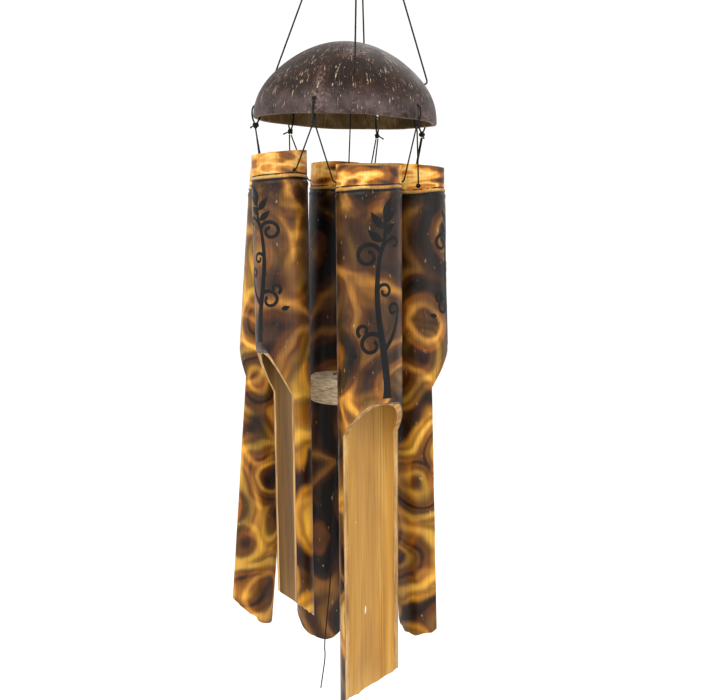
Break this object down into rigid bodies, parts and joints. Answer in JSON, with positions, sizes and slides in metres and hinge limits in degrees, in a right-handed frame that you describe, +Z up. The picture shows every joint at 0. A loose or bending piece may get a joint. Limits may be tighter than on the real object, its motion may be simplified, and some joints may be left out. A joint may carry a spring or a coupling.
{
  "type": "wind chime",
  "caption": "Hanging wind chime: scooped bamboo tubes on cords round a wooden clapper, under half a coconut shell, with a hanging ring.",
  "frame": {"origin": "the point inside the top ring where a hook carries the chime", "axes": "+Z up, -Y the front, +X to the right seen from the front"},
  "size_m": [0.1471, 0.1454, 0.6231],
  "materials": {
    "bamboo": "torch-burnt and varnished, satin",
    "coconut": "polished shell",
    "disc_wood": "bare turned wood",
    "cord": "black waxed thread",
    "steel": "satin"
  },
  "bodies": {
    "ring": {"hanging_ring": "steel"},
    "loop": {"top_loop": "cord"},
    "knot": {"top_knot": "cord"},
    "canopy": {"coconut_shell": "coconut", "suspension_cord_side": "cord", "suspension_cord_front": "cord", "rim_loop_1": "cord", "rim_loop_2": "cord", "rim_loop_3": "cord", "rim_loop_4": "cord", "rim_loop_5": "cord", "rim_loop_6": "cord", "rim_knot_1": "cord", "rim_knot_2": "cord", "rim_knot_3": "cord", "rim_knot_4": "cord", "rim_knot_5": "cord", "rim_knot_6": "cord"},
    "hitch": {"clapper_hitch": "cord"},
    "clapper": {"clapper_cord": "cord", "clapper_disc": "disc_wood", "clapper_upper_knot": "cord"},
    "tail_knot": {"clapper_lower_knot": "cord"},
    "tail": {"clapper_tail": "cord"},
    "strands_front": {"strand_left_front": "cord", "strand_right_front": "cord", "hole_knots_front": "cord"},
    "tube_front": {"bamboo_tube_front": "bamboo"},
    "strands_right": {"strand_left_right": "cord", "strand_right_right": "cord", "hole_knots_right": "cord"},
    "tube_right": {"bamboo_tube_right": "bamboo"},
    "strands_back_right": {"strand_left_back_right": "cord", "strand_right_back_right": "cord", "hole_knots_back_right": "cord"},
    "tube_back_right": {"bamboo_tube_back_right": "bamboo"},
    "strands_back": {"strand_left_back": "cord", "strand_right_back": "cord", "hole_knots_back": "cord"},
    "tube_back": {"bamboo_tube_back": "bamboo"},
    "strands_back_left": {"strand_left_back_left": "cord", "strand_right_back_left": "cord", "hole_knots_back_left": "cord"},
    "tube_back_left": {"bamboo_tube_back_left": "bamboo"},
    "strands_front_left": {"strand_left_front_left": "cord", "strand_right_front_left": "cord", "hole_knots_front_left": "cord"},
    "tube_front_left": {"bamboo_tube_front_left": "bamboo"}
  },
  "joints": [
    {"name": "chime_swing_front", "type": "hinge", "parent": "ring", "child": "loop", "pos_m": [0, 0, -0.02125], "axis": [1, 0, 0], "range_deg": [-20, 20]},
    {"name": "chime_swing_side", "type": "hinge", "parent": "loop", "child": "knot", "pos_m": [0, 0, -0.0322], "axis": [0, 1, 0], "range_deg": [-20, 20]},
    {"name": "chime_twist", "type": "hinge", "parent": "knot", "child": "canopy", "pos_m": [0, 0, -0.03555], "axis": [0, 0, 1], "range_deg": [-180, 180]},
    {"name": "clapper_swing_front", "type": "hinge", "parent": "canopy", "child": "hitch", "pos_m": [0.0012, 0, -0.1893], "axis": [1, 0, 0], "range_deg": [-1.5, 1.5]},
    {"name": "clapper_swing_side", "type": "hinge", "parent": "hitch", "child": "clapper", "pos_m": [0.0012, 0, -0.1932], "axis": [0, 1, 0], "range_deg": [-1.5, 1.5]},
    {"name": "tail_swing_front", "type": "hinge", "parent": "clapper", "child": "tail_knot", "pos_m": [0.0012, 0, -0.41], "axis": [1, 0, 0], "range_deg": [-4, 4]},
    {"name": "tail_swing_side", "type": "hinge", "parent": "tail_knot", "child": "tail", "pos_m": [0.0012, 0, -0.41], "axis": [0, 1, 0], "range_deg": [-4, 4]},
    {"name": "strand_swing_front", "type": "hinge", "parent": "canopy", "child": "strands_front", "pos_m": [0.01155, -0.04821, -0.2195], "axis": [-0.96, -0.2798, 0], "range_deg": [-0.5, 25]},
    {"name": "tube_rock_front", "type": "hinge", "parent": "strands_front", "child": "tube_front", "pos_m": [0.01477, -0.04693, -0.257], "axis": [-0.9935, -0.1055, -0.0424], "range_deg": [-0.5, 18]},
    {"name": "strand_swing_right", "type": "hinge", "parent": "canopy", "child": "strands_right", "pos_m": [0.04812, -0.00577, -0.2195], "axis": [-0.1132, -0.9936, 0], "range_deg": [-0.5, 25]},
    {"name": "tube_rock_right", "type": "hinge", "parent": "strands_right", "child": "tube_right", "pos_m": [0.0474, -0.00314, -0.257], "axis": [0.0345, -0.9994, 0.0065], "range_deg": [-0.5, 18]},
    {"name": "strand_swing_back_right", "type": "hinge", "parent": "canopy", "child": "strands_back_right", "pos_m": [0.03631, 0.04162, -0.2195], "axis": [0.7314, -0.682, 0], "range_deg": [-0.5, 25]},
    {"name": "tube_rock_back_right", "type": "hinge", "parent": "strands_back_right", "child": "tube_back_right", "pos_m": [0.03261, 0.0356, -0.256], "axis": [0.7313, -0.682, 0.0012], "range_deg": [-0.5, 18]},
    {"name": "strand_swing_back", "type": "hinge", "parent": "canopy", "child": "strands_back", "pos_m": [-0.0108, 0.05099, -0.2195], "axis": [0.987, 0.1607, 0], "range_deg": [-0.5, 25]},
    {"name": "tube_rock_back", "type": "hinge", "parent": "strands_back", "child": "tube_back", "pos_m": [-0.00642, 0.04985, -0.2545], "axis": [0.9877, 0.1563, 0.0027], "range_deg": [-0.5, 18]},
    {"name": "strand_swing_back_left", "type": "hinge", "parent": "canopy", "child": "strands_back_left", "pos_m": [-0.0528, 0.02292, -0.2195], "axis": [0.4147, 0.91, 0], "range_deg": [-0.5, 25]},
    {"name": "tube_rock_back_left", "type": "hinge", "parent": "strands_back_left", "child": "tube_back_left", "pos_m": [-0.04912, 0.01808, -0.258], "axis": [0.4067, 0.9136, -0.002], "range_deg": [-0.5, 18]},
    {"name": "strand_swing_front_left", "type": "hinge", "parent": "canopy", "child": "strands_front_left", "pos_m": [-0.04226, -0.02889, -0.2195], "axis": [-0.5878, 0.809, 0], "range_deg": [-0.5, 25]},
    {"name": "tube_rock_front_left", "type": "hinge", "parent": "strands_front_left", "child": "tube_front_left", "pos_m": [-0.04415, -0.02767, -0.252], "axis": [-0.5854, 0.8064, -0.084], "range_deg": [-0.5, 18]}
  ]
}
